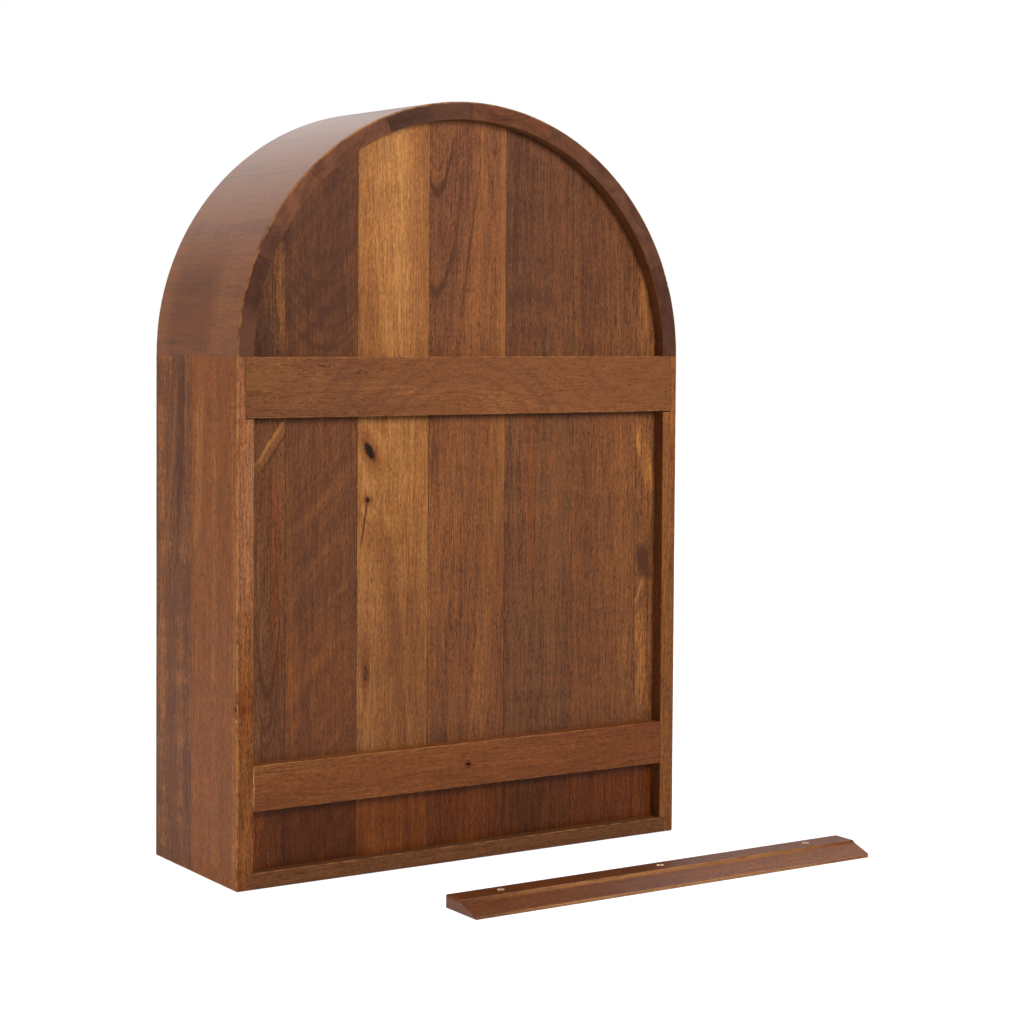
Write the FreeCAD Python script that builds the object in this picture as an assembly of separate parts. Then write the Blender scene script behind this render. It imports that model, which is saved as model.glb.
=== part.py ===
import FreeCAD, Part
import math
import os

# A wall shelf with a half-round top, and the loose cleat that it hangs from, lying on the floor behind it.
# Lengths are in mm. Seen from the open front, +X is to the right, +Y goes to the wall and +Z is up.
# The origin is in the middle of the case's underside.

V = FreeCAD.Vector

# Case
CASE_WIDTH = 508.0
CASE_DEPTH = 190.5
SPRING_HEIGHT = 508.0  # from the floor to where the sides turn into the arch
WALL_THICK = 17.5  # sides and staves
SIDE_REAR_WIDTH = 104.0  # rear board of a side, whose front board takes the rest
STAVE_COUNT = 8
EDGE_ROUND = 2.2  # rounding of the edges that a hand meets
INNER_ROUND = 1.0  # rounding of the edges inside the case's rim
FOOT_ROUND = 1.8  # rounding of the sides' feet

# Bottom and shelves
BOARD_THICK = 16.0
SEAM_STAGGER = 3.5  # glue lines of the bottom and the shelves, back from those of the sides
SHELF_SETBACK = 6.0  # from the case's front edges to a shelf's
DADO_STOP = 8.0  # from a shelf's front edge to where its dado ends, out of sight
LET_IN = 6.0  # depth of the dados and of the panel's groove

# Back panel, from the left as seen from the open front
PLANK_WIDTHS = (30.5, 79.5, 82.0, 89.0, 80.0, 77.5, 44.5)  # taken in proportion to fill the panel
PANEL_THICK = 10.0
PANEL_RECESS = 14.5  # from the case's rear edges in to the panel, which is also the rails' thickness
PANEL_PLAY = 1.0  # room for the panel to swell, sideways and at the top
GROOVE_FIT = 0.2  # between the panel's faces and its groove

# Rails on the back of the panel
HANGING_RAIL_HEIGHT = 58.0
HANGING_RAIL_LET_IN = 9.0  # how far each end reaches into the sides
LOWER_RAIL_HEIGHT = 44.0
LOWER_RAIL_BASE = 75.0  # floor to the lower rail
RAIL_FIT = 0.3  # at the ends of both rails
NOTCH_ROOM = 1.0  # under each end of the hanging rail
RAIL_ROUND = 0.8

# Hook shared by the hanging rail and the cleat
HOOK_NOSE = 2.5  # blunt edge of each
HOOK_RUN = 25.5  # height of the slope between the blunt edges
HOOK_PLAY = 2.0  # room above the cleat's edge in the rail's pocket
HANG_CLEARANCE = 1.0  # between the hung cleat and the panel

# Cleat
CLEAT_FLAT = 29.5  # height of its face on the wall
CLEAT_END_PLAY = 2.5  # between each end and the case's side when it hangs
CLEAT_BEHIND = 158.0  # from the case's rear edges to the cleat, as it lies
CLEAT_SHIFT = -115.5  # of its middle from the case's middle
CLEAT_CORNER = 4.0  # rounding of its corners in plan
CLEAT_END_ROUND = 2.8  # rounding of its ends, above and below
CLEAT_EDGE_ROUND = 3.8  # rounding of its two long edges at the blunt side
CLEAT_HOLE_INSET = 52.0  # from an end to the nearest hole

# Screws that fasten the cleat and the lower rail to a wall
CLEAT_SCREW_HOLE = 5.0
CLEAT_SCREW_HEAD = 10.0
PIN_SCREW_HOLE = 4.5
PIN_SCREW_HEAD = 9.0
PIN_EXIT = 9.0  # width of the bevel where the hole comes out of the lower rail

# Dowels in the joints of the arch
DOWEL_DIAMETER = 6.0
DOWEL_LENGTH = 30.0
DOWEL_CHAMFER = 0.8
DOWEL_FIT = 0.1  # around a dowel
DOWEL_END_ROOM = 0.5  # past each end of a dowel

# Places that follow
OUTER = CASE_WIDTH / 2
INNER = OUTER - WALL_THICK
BACK = CASE_DEPTH / 2
FRONT = -BACK
SIDE_SEAM = BACK - SIDE_REAR_WIDTH
BOARD_SEAM = SIDE_SEAM + SEAM_STAGGER
PANEL_BACK = BACK - PANEL_RECESS
PANEL_FRONT = PANEL_BACK - PANEL_THICK
PANEL_RADIUS = INNER + LET_IN - PANEL_PLAY
PANEL_BASE = BOARD_THICK - LET_IN
SHELF_FRONT = FRONT + SHELF_SETBACK
BOARD_END = INNER + LET_IN
STAVE_ANGLE = 180.0 / STAVE_COUNT
ARCH_CENTRE = V(0, 0, SPRING_HEIGHT)
ARCH_AXIS = V(0, -1, 0)
DOWEL_RADIUS = INNER + (LET_IN + WALL_THICK) / 2  # in the middle of the wood behind the dados
DOWEL_PLACES = ((FRONT + SIDE_SEAM) / 2, (SIDE_SEAM + PANEL_FRONT) / 2)

# The hanging rail ends at the spring line and backs the upper shelf. The lower shelf makes two equal bays.
HANGING_RAIL_BASE = SPRING_HEIGHT - HANGING_RAIL_HEIGHT
UPPER_SHELF_BASE = SPRING_HEIGHT - HANGING_RAIL_HEIGHT / 2 - BOARD_THICK / 2
LOWER_SHELF_BASE = UPPER_SHELF_BASE / 2
SHELF_BASES = {"lower_shelf": LOWER_SHELF_BASE, "upper_shelf": UPPER_SHELF_BASE}
LOWER_RAIL_MIDDLE = LOWER_RAIL_BASE + LOWER_RAIL_HEIGHT / 2

# The cleat is thinner than the space behind the panel, and its slope is the rail's.
CLEAT_THICK = PANEL_RECESS - HANG_CLEARANCE
CLEAT_WIDTH = CLEAT_FLAT + HOOK_RUN
CLEAT_LENGTH = 2 * (INNER - CLEAT_END_PLAY)
CLEAT_EDGE = BACK + CLEAT_BEHIND
HOOK_LEAN = (CLEAT_THICK - 2 * HOOK_NOSE) / HOOK_RUN  # sideways per unit of height


def rounded_face(corners, place):
    """Flat face with corners (u, v, rounding) in order. place turns u and v into a point."""
    count = len(corners)
    edges = []
    first = last = None
    for i, (u, v, radius) in enumerate(corners):
        corner = place(u, v)
        start = end = corner
        if radius > 0:
            back = (place(*corners[i - 1][:2]) - corner).normalize()
            ahead = (place(*corners[(i + 1) % count][:2]) - corner).normalize()
            half = back.getAngle(ahead) / 2
            start = corner + back * (radius / math.tan(half))
            end = corner + ahead * (radius / math.tan(half))
            inward = (back + ahead).normalize()
            middle = corner + inward * (radius / math.sin(half) - radius)
        if last is None:
            first = start
        else:
            edges.append(Part.makeLine(last, start))
        if radius > 0:
            edges.append(Part.Arc(start, middle, end).toShape())
        last = end
    edges.append(Part.makeLine(last, first))
    return Part.Face(Part.Wire(edges))


def block(x, y, z):
    """Box from three (low, high) pairs."""
    return Part.makeBox(x[1] - x[0], y[1] - y[0], z[1] - z[0], V(x[0], y[0], z[0]))


def screw_hole(head_centre, direction, length, hole, head):
    """Tool for a through hole of the given diameter with a 90 degree countersink at head_centre."""
    depth = (head - hole) / 2
    shaft = Part.makeCylinder(hole / 2, length, head_centre, direction)
    return shaft.fuse(Part.makeCone(head / 2, hole / 2, depth, head_centre, direction))


def both_ways(shape):
    """The shape and its mirror image on the other side of the case."""
    return shape, shape.mirror(V(0, 0, 0), V(1, 0, 0))


def dowel_tools(angle, diameter, length):
    """Cylinders across the arch's joint at an angle from +X, one at each place along the depth."""
    turn = math.radians(angle)
    along = V(-math.sin(turn), 0, math.cos(turn))
    tools = []
    for y in DOWEL_PLACES:
        centre = V(DOWEL_RADIUS * math.cos(turn), y, SPRING_HEIGHT + DOWEL_RADIUS * math.sin(turn))
        tools.append(Part.makeCylinder(diameter / 2, length, centre - along * (length / 2), along))
    return tools


def dowel_holes(angle):
    return dowel_tools(angle, DOWEL_DIAMETER + 2 * DOWEL_FIT, DOWEL_LENGTH + 2 * DOWEL_END_ROOM)


def wall_section(y_low, y_high, round_low, round_high, grooved):
    """Corners of a wall's section, its distance from the case's middle against Y."""
    corners = [
        (INNER, y_low, min(round_low, INNER_ROUND)),
        (OUTER, y_low, round_low),
        (OUTER, y_high, round_high),
        (INNER, y_high, min(round_high, INNER_ROUND)),
    ]
    if grooved:
        corners += [
            (INNER, PANEL_BACK + GROOVE_FIT, 0),
            (INNER + LET_IN, PANEL_BACK + GROOVE_FIT, 0),
            (INNER + LET_IN, PANEL_FRONT - GROOVE_FIT, 0),
            (INNER, PANEL_FRONT - GROOVE_FIT, 0),
        ]
    return corners


def foot_edges(board):
    """Edges of a side board's foot that show: its outer edge, and the short one at the front or the back."""
    near = FOOT_ROUND / 10
    return [
        edge
        for edge in board.Edges
        if edge.BoundBox.ZMax < near
        and edge.CenterOfMass.x > BOARD_END + near
        and abs(edge.CenterOfMass.y - SIDE_SEAM) > near
    ]


def side_board(section, tools):
    """Upright board of the right-hand side, from its section and the tools that cut it."""
    board = rounded_face(section, lambda x, y: V(x, y, 0)).extrude(V(0, 0, SPRING_HEIGHT))
    board = board.cut(tools)
    return board.makeFillet(FOOT_ROUND, foot_edges(board))


def sides():
    """Front and rear boards of both sides, cut for the bottom, the shelves, the rail and the dowels."""
    tools = [block((INNER, BOARD_END), (FRONT, BACK), (0, BOARD_THICK))]
    for base in SHELF_BASES.values():
        tools.append(block((INNER, BOARD_END), (SHELF_FRONT + DADO_STOP, PANEL_FRONT), (base, base + BOARD_THICK)))
    rail_end = INNER + HANGING_RAIL_LET_IN + RAIL_FIT
    tools.append(block((INNER, rail_end), (PANEL_BACK, BACK), (HANGING_RAIL_BASE - NOTCH_ROOM, SPRING_HEIGHT)))
    tools += dowel_holes(0)
    front = side_board(wall_section(FRONT, SIDE_SEAM, EDGE_ROUND, 0, False), tools)
    rear = side_board(wall_section(SIDE_SEAM, BACK, 0, EDGE_ROUND, True), tools)
    nodes = {}
    nodes["right_side_front_board"], nodes["left_side_front_board"] = both_ways(front)
    nodes["right_side_rear_board"], nodes["left_side_rear_board"] = both_ways(rear)
    return nodes


def arch_staves():
    """Coopered staves of the half-round top, numbered from the right-hand side over to the left."""
    section = wall_section(FRONT, BACK, EDGE_ROUND, EDGE_ROUND, True)
    profile = rounded_face(section, lambda r, y: V(r, y, SPRING_HEIGHT))
    nodes = {}
    for i in range(STAVE_COUNT):
        start = i * STAVE_ANGLE
        stave = profile.revolve(ARCH_CENTRE, ARCH_AXIS, STAVE_ANGLE)
        stave.rotate(ARCH_CENTRE, ARCH_AXIS, start)
        nodes[f"arch_stave_{i + 1}"] = stave.cut(dowel_holes(start) + dowel_holes(start + STAVE_ANGLE))
    return nodes


def arch_dowels():
    """All the arch's dowels, two in each joint."""
    dowels = []
    for i in range(STAVE_COUNT + 1):
        for dowel in dowel_tools(i * STAVE_ANGLE, DOWEL_DIAMETER, DOWEL_LENGTH):
            rims = [edge for edge in dowel.Edges if edge.Closed]
            dowels.append(dowel.makeChamfer(DOWEL_CHAMFER, rims))
    return {"arch_dowels": Part.makeCompound(dowels)}


def long_bar(corners, half_length):
    """Bar along X with the given section, its Y against its height."""
    face = rounded_face(corners, lambda y, z: V(-half_length, y, z))
    return face.extrude(V(2 * half_length, 0, 0))


def bottom():
    """Bottom, of a front and a rear board, the rear one grooved for the panel."""
    front = [
        (FRONT, 0, EDGE_ROUND),
        (BOARD_SEAM, 0, 0),
        (BOARD_SEAM, BOARD_THICK, 0),
        (FRONT, BOARD_THICK, INNER_ROUND),
    ]
    rear = [
        (BOARD_SEAM, 0, 0),
        (BACK, 0, EDGE_ROUND),
        (BACK, BOARD_THICK, INNER_ROUND),
        (PANEL_BACK + GROOVE_FIT, BOARD_THICK, 0),
        (PANEL_BACK + GROOVE_FIT, PANEL_BASE, 0),
        (PANEL_FRONT - GROOVE_FIT, PANEL_BASE, 0),
        (PANEL_FRONT - GROOVE_FIT, BOARD_THICK, 0),
        (BOARD_SEAM, BOARD_THICK, 0),
    ]
    return {"bottom_front_board": long_bar(front, BOARD_END), "bottom_rear_board": long_bar(rear, BOARD_END)}


def shelves():
    """Two fixed shelves in stopped dados, each of a front and a rear board."""
    nodes = {}
    for name, base in SHELF_BASES.items():
        top = base + BOARD_THICK
        front_section = [
            (SHELF_FRONT, base, EDGE_ROUND),
            (BOARD_SEAM, base, 0),
            (BOARD_SEAM, top, 0),
            (SHELF_FRONT, top, EDGE_ROUND),
        ]
        rear_section = [(BOARD_SEAM, base, 0), (PANEL_FRONT, base, 0), (PANEL_FRONT, top, 0), (BOARD_SEAM, top, 0)]
        stop = (SHELF_FRONT, SHELF_FRONT + DADO_STOP)
        corners = both_ways(block((INNER, BOARD_END), stop, (base, top)))
        nodes[f"{name}_front_board"] = long_bar(front_section, BOARD_END).cut(corners)
        nodes[f"{name}_rear_board"] = long_bar(rear_section, BOARD_END)
    return nodes


def pin_screw_hole():
    """Hole for a screw from inside the case through the panel and the lower rail into the wall."""
    inside = V(0, PANEL_FRONT, LOWER_RAIL_MIDDLE)
    outside = V(0, BACK, LOWER_RAIL_MIDDLE)
    length = BACK - PANEL_FRONT
    hole = screw_hole(inside, V(0, 1, 0), length, PIN_SCREW_HOLE, PIN_SCREW_HEAD)
    return hole.fuse(screw_hole(outside, V(0, -1, 0), length, PIN_SCREW_HOLE, PIN_EXIT))


def panel_point(angle, y):
    """Point on the panel's round edge at an angle from +X."""
    return V(PANEL_RADIUS * math.cos(angle), y, SPRING_HEIGHT + PANEL_RADIUS * math.sin(angle))


def plank(x_low, x_high):
    """Upright plank of the back panel between two glue lines, its top following the arch."""
    angle_low = math.acos(x_low / PANEL_RADIUS)
    angle_high = math.acos(x_high / PANEL_RADIUS)
    foot_low = V(x_low, PANEL_FRONT, PANEL_BASE)
    foot_high = V(x_high, PANEL_FRONT, PANEL_BASE)
    top_low = panel_point(angle_low, PANEL_FRONT)
    top_high = panel_point(angle_high, PANEL_FRONT)
    crown = panel_point((angle_low + angle_high) / 2, PANEL_FRONT)
    edges = [
        Part.makeLine(foot_low, foot_high),
        Part.makeLine(foot_high, top_high),
        Part.Arc(top_high, crown, top_low).toShape(),
        Part.makeLine(top_low, foot_low),
    ]
    return Part.Face(Part.Wire(edges)).extrude(V(0, PANEL_THICK, 0))


def back_planks():
    """Planks of the back panel, numbered from the left as seen from the open front."""
    scale = 2 * PANEL_RADIUS / sum(PLANK_WIDTHS)
    glue_lines = [-PANEL_RADIUS]
    for width in PLANK_WIDTHS[:-1]:
        glue_lines.append(glue_lines[-1] + width * scale)
    glue_lines.append(PANEL_RADIUS)
    nodes = {}
    for i, (x_low, x_high) in enumerate(zip(glue_lines, glue_lines[1:])):
        board = plank(x_low, x_high)
        if x_low < PIN_SCREW_HEAD / 2 and x_high > -PIN_SCREW_HEAD / 2:
            board = board.cut(pin_screw_hole())
        nodes[f"back_plank_{i + 1}"] = board
    return nodes


def rails():
    """Hanging rail with its bevelled pocket, and the plain lower rail with its screw hole."""
    pocket_top = HANGING_RAIL_BASE + HOOK_RUN + HOOK_PLAY
    slope_end = BACK - HOOK_NOSE - (HOOK_RUN + HOOK_PLAY) * HOOK_LEAN
    hanging = [
        (PANEL_BACK, SPRING_HEIGHT, 0),
        (PANEL_BACK, pocket_top, 0),
        (slope_end, pocket_top, 0),
        (BACK - HOOK_NOSE, HANGING_RAIL_BASE, 0),
        (BACK, HANGING_RAIL_BASE, RAIL_ROUND),
        (BACK, SPRING_HEIGHT, RAIL_ROUND),
    ]
    lower_top = LOWER_RAIL_BASE + LOWER_RAIL_HEIGHT
    lower = [
        (PANEL_BACK, LOWER_RAIL_BASE, 0),
        (BACK, LOWER_RAIL_BASE, RAIL_ROUND),
        (BACK, lower_top, RAIL_ROUND),
        (PANEL_BACK, lower_top, 0),
    ]
    return {
        "hanging_rail": long_bar(hanging, INNER + HANGING_RAIL_LET_IN),
        "lower_rail": long_bar(lower, INNER - RAIL_FIT).cut(pin_screw_hole()),
    }


def wall_cleat():
    """Loose cleat, lying on its outer face with its hooking edge away from the case."""
    tip = CLEAT_EDGE + CLEAT_WIDTH
    ridge = CLEAT_EDGE + CLEAT_FLAT
    section = [
        (CLEAT_EDGE, 0, CLEAT_EDGE_ROUND),
        (tip, 0, RAIL_ROUND),
        (tip, HOOK_NOSE, RAIL_ROUND),
        (ridge, CLEAT_THICK - HOOK_NOSE, 0),
        (ridge, CLEAT_THICK, RAIL_ROUND),
        (CLEAT_EDGE, CLEAT_THICK, CLEAT_EDGE_ROUND),
    ]
    half = CLEAT_LENGTH / 2
    plan = [
        (-half, CLEAT_EDGE, CLEAT_CORNER),
        (half, CLEAT_EDGE, CLEAT_CORNER),
        (half, tip, CLEAT_CORNER),
        (-half, tip, CLEAT_CORNER),
    ]
    elevation = [
        (-half, 0, CLEAT_END_ROUND),
        (half, 0, CLEAT_END_ROUND),
        (half, CLEAT_THICK, CLEAT_END_ROUND),
        (-half, CLEAT_THICK, CLEAT_END_ROUND),
    ]
    from_above = rounded_face(plan, lambda x, y: V(x, y, 0)).extrude(V(0, 0, CLEAT_THICK))
    from_behind = rounded_face(elevation, lambda x, z: V(x, CLEAT_EDGE, z)).extrude(V(0, CLEAT_WIDTH, 0))
    cleat = long_bar(section, half).common(from_above).common(from_behind)
    reach = half - CLEAT_HOLE_INSET
    for x in (-reach, 0, reach):
        head = V(x, CLEAT_EDGE + CLEAT_FLAT / 2, 0)
        cleat = cleat.cut(screw_hole(head, V(0, 0, 1), CLEAT_THICK, CLEAT_SCREW_HOLE, CLEAT_SCREW_HEAD))
    cleat.translate(V(CLEAT_SHIFT, 0, 0))
    return {"wall_cleat": cleat}


def single_solid(shape):
    """The one solid of a cut shape, or the shape itself if it is a group of pieces."""
    return shape.Solids[0] if len(shape.Solids) == 1 else shape


nodes = {}
for group in (sides, arch_staves, arch_dowels, bottom, shelves, back_planks, rails, wall_cleat):
    nodes.update(group())

os.makedirs("parts", exist_ok=True)
for name, shape in nodes.items():
    single_solid(shape).exportStep(f"parts/{name}.step")
    box = shape.BoundBox
    print(f"{name}: {len(shape.Solids)} solid, {shape.Volume / 1000:.1f} cm3, valid {shape.isValid()},"
          f" x {box.XMin:.1f} to {box.XMax:.1f}, y {box.YMin:.1f} to {box.YMax:.1f}, z {box.ZMin:.1f} to {box.ZMax:.1f}")
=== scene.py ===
# %% [markdown]
# # An arched wall shelf, seen from behind
# The object is a small case of stained hardwood with a half-round top. It stands on the floor with its back to us,
# and the wooden cleat that holds it on a wall lies beside it. Construction comes from a CAD model in real metres.
# This lesson keeps those solids where their shape is right, and gives every board a wood of its own.

import bpy
import numpy as np
from mathutils import Matrix, Vector


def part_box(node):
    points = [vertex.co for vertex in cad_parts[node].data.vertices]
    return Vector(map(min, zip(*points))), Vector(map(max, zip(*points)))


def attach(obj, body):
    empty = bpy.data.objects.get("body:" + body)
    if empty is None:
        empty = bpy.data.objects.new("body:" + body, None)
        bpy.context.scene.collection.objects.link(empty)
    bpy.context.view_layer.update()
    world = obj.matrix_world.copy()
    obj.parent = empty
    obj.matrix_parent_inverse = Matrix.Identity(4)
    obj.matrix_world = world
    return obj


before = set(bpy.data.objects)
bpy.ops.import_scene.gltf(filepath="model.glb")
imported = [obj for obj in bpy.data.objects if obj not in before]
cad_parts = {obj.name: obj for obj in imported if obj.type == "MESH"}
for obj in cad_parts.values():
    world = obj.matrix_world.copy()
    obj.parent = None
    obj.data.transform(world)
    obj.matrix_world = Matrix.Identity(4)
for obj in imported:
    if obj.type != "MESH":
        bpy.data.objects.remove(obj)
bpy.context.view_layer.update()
print("boards in the model:", len(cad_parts))

# %% [markdown]
# ## The camera
# A camera can be aimed with a tracking constraint, or its axes can be written down. Writing the three axes keeps the
# small roll of a hand-held camera, so the verticals lean in the render exactly as they do in the picture.
# Turn is measured from the +Y direction, pitch is downwards, and the lens is given for a sensor 36 mm wide.

# %% Place the camera
FRAME_PIXELS, FOCAL_PIXELS, SHIFT_PIXELS = 1024, 2381.1, (-150, -100)
SENSOR_MM = 36.0
CAMERA_PLACE = (1.22025, 2.15316, 0.54708)
turn, pitch, roll = np.radians([144.731, 2.2295, 0.5199])
forward = np.array([-np.sin(turn) * np.cos(pitch), np.cos(turn) * np.cos(pitch), -np.sin(pitch)])
level = np.array([np.cos(turn), np.sin(turn), 0.0])
upright = np.cross(level, forward)
side_axis = np.cos(roll) * level + np.sin(roll) * upright
up_axis = np.cos(roll) * upright - np.sin(roll) * level

lens = bpy.data.cameras.new("camera")
lens.sensor_width, lens.lens = SENSOR_MM, SENSOR_MM * FOCAL_PIXELS / FRAME_PIXELS
lens.shift_x, lens.shift_y = (pixels / FRAME_PIXELS for pixels in SHIFT_PIXELS)
camera = bpy.data.objects.new("camera", lens)
bpy.context.collection.objects.link(camera)
turned = Matrix((side_axis, up_axis, -forward)).transposed().to_4x4()
camera.matrix_world = Matrix.Translation(CAMERA_PLACE) @ turned
bpy.context.scene.camera = camera
bpy.context.scene.view_settings.view_transform = "Standard"
print("lens, mm:", round(lens.lens, 2))

# %% [markdown]
# ## Wiring shader nodes in short lines
# Materials below are made of many small nodes. These helpers add one node each and accept either a number or the
# output of another node, so a formula reads like a formula. Colours are written as they look on a screen, 0 to 255,
# and turned into the linear numbers that light adds up in.


# %% Helpers for single nodes
def screen(r, g, b):
    """A screen colour as linear light: the upper part of the curve is a power of 2.4, the foot is a straight line."""
    c = np.array([r, g, b]) / 255
    return (*np.where(c <= 0.04045, c / 12.92, ((c + 0.055) / 1.055) ** 2.4).tolist(), 1.0)


def feed(tree, socket, value):
    """Links an output to the socket, or sets the socket to a plain value."""
    if isinstance(value, bpy.types.NodeSocket):
        tree.links.new(value, socket)
    else:
        socket.default_value = value


def add(tree, kind, inputs=(), **settings):
    made = tree.nodes.new("ShaderNode" + kind)
    for name, value in settings.items():
        setattr(made, name, value)
    for name, value in dict(inputs).items():
        feed(tree, made.inputs[name], value)
    return made


def calc(tree, operation, *values, clamp=False):
    made = add(tree, "Math", operation=operation, use_clamp=clamp)
    for socket, value in zip(made.inputs, values):
        feed(tree, socket, value)
    return made.outputs[0]


def vec(tree, operation, *values):
    made = add(tree, "VectorMath", operation=operation)
    for socket, value in zip(made.inputs, values):
        feed(tree, socket, value)
    return made.outputs["Value" if operation in ("LENGTH", "DOT_PRODUCT") else "Vector"]


def scaled(tree, vector, amount):
    return add(tree, "VectorMath", {0: vector, "Scale": amount}, operation="SCALE").outputs["Vector"]


print("middle grey of a screen as linear light:", round(screen(128, 128, 128)[0], 3))


# %% Helpers for fades, mixes, noise and groups
def largest(tree, first, *others):
    for other in others:
        first = calc(tree, "MAXIMUM", first, other)
    return first


def fade(tree, value, low, high, at_low=0.0, at_high=1.0):
    """Goes smoothly from at_low to at_high while value goes from low to high, and stays level outside."""
    wires = {"Value": value, "From Min": low, "From Max": high, "To Min": at_low, "To Max": at_high}
    return add(tree, "MapRange", wires, interpolation_type="SMOOTHSTEP").outputs[0]


def mix(tree, amount, first, second, blend="MIX"):
    """Mixes two colours. A Mix node has a set of sockets per kind of data, and those of colours are 6, 7 and 2."""
    made = add(tree, "Mix", data_type="RGBA", blend_type=blend)
    for place, value in ((0, amount), (6, first), (7, second)):
        feed(tree, made.inputs[place], value)
    return made.outputs[2]


def cloud(tree, vector, stretch, shift, detail=2.0, colour=False):
    """Soft noise of a point that is stretched along each axis and shifted, so that every board has its own."""
    place = vec(tree, "MULTIPLY_ADD", vector, stretch, shift)
    made = add(tree, "TexNoise", {"Vector": place, "Scale": 1.0, "Detail": detail, "Roughness": 0.55})
    return made.outputs[1 if colour else 0]


def shared(name, inputs, outputs):
    """A node group with named sockets, which are numbers, vectors of three or colours of four. Returns its tree, the
    sockets that come in and those that go out."""
    tree = bpy.data.node_groups.new(name, "ShaderNodeTree")
    for label, value in inputs.items():
        kind = {1: "Float", 3: "Vector", 4: "Color"}[np.size(value)]
        tree.interface.new_socket(label, in_out="INPUT", socket_type="NodeSocket" + kind).default_value = value
    for label in outputs:
        kind = "Color" if label == "Colour" else "Float"
        tree.interface.new_socket(label, in_out="OUTPUT", socket_type="NodeSocket" + kind)
    return tree, tree.nodes.new("NodeGroupInput").outputs, tree.nodes.new("NodeGroupOutput").inputs


def use(tree, group, **inputs):
    """Places a group. Spaces in socket names are written as underscores."""
    made = add(tree, "Group", node_tree=group)
    for name, value in inputs.items():
        feed(tree, made.inputs[name.replace("_", " ").title()], value)
    return made.outputs


X, Y, Z = (1, 0, 0), (0, 1, 0), (0, 0, 1)
NOWHERE, BLACK, WHITE = (0, 0, 0), (0, 0, 0, 1), (1, 1, 1, 1)
print("axes:", X, Y, Z)

# %% [markdown]
# ## The sky
# The case stands in a white studio. Reflections see white paper beyond the case, a bright ceiling, a pale room and a
# dim wing on either side, the one past the cleat paler. A room could be built of panels, but a sky that asks which kind
# of ray is looking needs no geometry: the camera sees white, reflections see the room, and all other light stays dim.

# %% Make the sky
DIM = 0.2
world = bpy.data.worlds.new("studio")
world.use_nodes = True
bpy.context.scene.world = world
sky = world.node_tree
sky.nodes.clear()
look = add(sky, "TexCoord").outputs["Generated"]
level_look = vec(sky, "NORMALIZE", vec(sky, "MULTIPLY", look, (1, 1, 0)))


def brightness(direction, *fading):
    """Strength of the sky by how closely a level look agrees with a direction."""
    return fade(sky, vec(sky, "DOT_PRODUCT", level_look, direction), *fading)


paper = brightness((-0.1, -0.995, 0.0), 0.905, 0.955, DIM, 1.0)
wing = brightness((-0.8, -0.6, 0.0), 0.93, 0.96, DIM, 0.42)
room = brightness(Y, 0.3, 0.8, DIM, 0.55)
ceiling = fade(sky, add(sky, "SeparateXYZ", {"Vector": look}).outputs["Z"], 0.4, 0.7, 0.25, 1.0)
ray = add(sky, "LightPath").outputs
mirrored = calc(sky, "MULTIPLY", ray["Is Glossy Ray"], largest(sky, room, wing, paper, ceiling))
strength = largest(sky, ray["Is Camera Ray"], mirrored, ray["Is Transmission Ray"], DIM)
glow = add(sky, "Background", {"Color": WHITE, "Strength": strength})
sky.links.new(glow.outputs[0], add(sky, "OutputWorld").inputs[0])
print("sky nodes:", len(sky.nodes))

# %% [markdown]
# ## The floor
# The floor could be a bright lamp, but that would light the wood from below, so it is a pale diffuse floor that only
# shows the camera and reflections a lift towards white, less of it close to the case, where it keeps a soft shadow.

# %% Make the floor
FLOOR_REACH, FLOOR_DROP = 9.0, 4e-4
floor_paint = bpy.data.materials.new("pale_floor")
floor_paint.use_nodes = True
tree = floor_paint.node_tree
tree.nodes.clear()
ray = add(tree, "LightPath").outputs
mirrored = calc(tree, "MULTIPLY", ray["Is Glossy Ray"], 0.25)
seen = largest(tree, ray["Is Camera Ray"], mirrored, ray["Is Transmission Ray"])
matt = add(tree, "BsdfDiffuse", {"Color": mix(tree, seen, (0.72, 0.72, 0.72, 1), (0.4, 0.4, 0.4, 1))})
away = vec(tree, "LENGTH", add(tree, "TexCoord").outputs["Object"])
strength = calc(tree, "MULTIPLY", seen, fade(tree, away, 0.6, 1.6, 0.9, 0.97))
lift = add(tree, "Emission", {"Color": WHITE, "Strength": strength})
both = add(tree, "AddShader")
for socket, shader in zip(both.inputs, (matt, lift)):
    tree.links.new(shader.outputs[0], socket)
tree.links.new(both.outputs[0], add(tree, "OutputMaterial").inputs[0])

corners = FLOOR_REACH * np.array([(-1, -1, 0), (1, -1, 0), (1, 1, 0), (-1, 1, 0)]) - np.array([0, 0, FLOOR_DROP])
floor_mesh = bpy.data.meshes.new("floor")
floor_mesh.from_pydata(corners.tolist(), [], [(0, 1, 2, 3)])
floor_mesh.materials.append(floor_paint)
floor = bpy.data.objects.new("floor", floor_mesh)
bpy.context.collection.objects.link(floor)
print("floor, m across:", 2 * FLOOR_REACH)

# %% [markdown]
# ## The lamps
# Four soft lamps do the lighting: one aimed at the panel, one at the side, one towards the open front and one overhead.
# They are left out of reflections, so the sheen comes from the paper and the ceiling and stays even from all sides.

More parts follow.
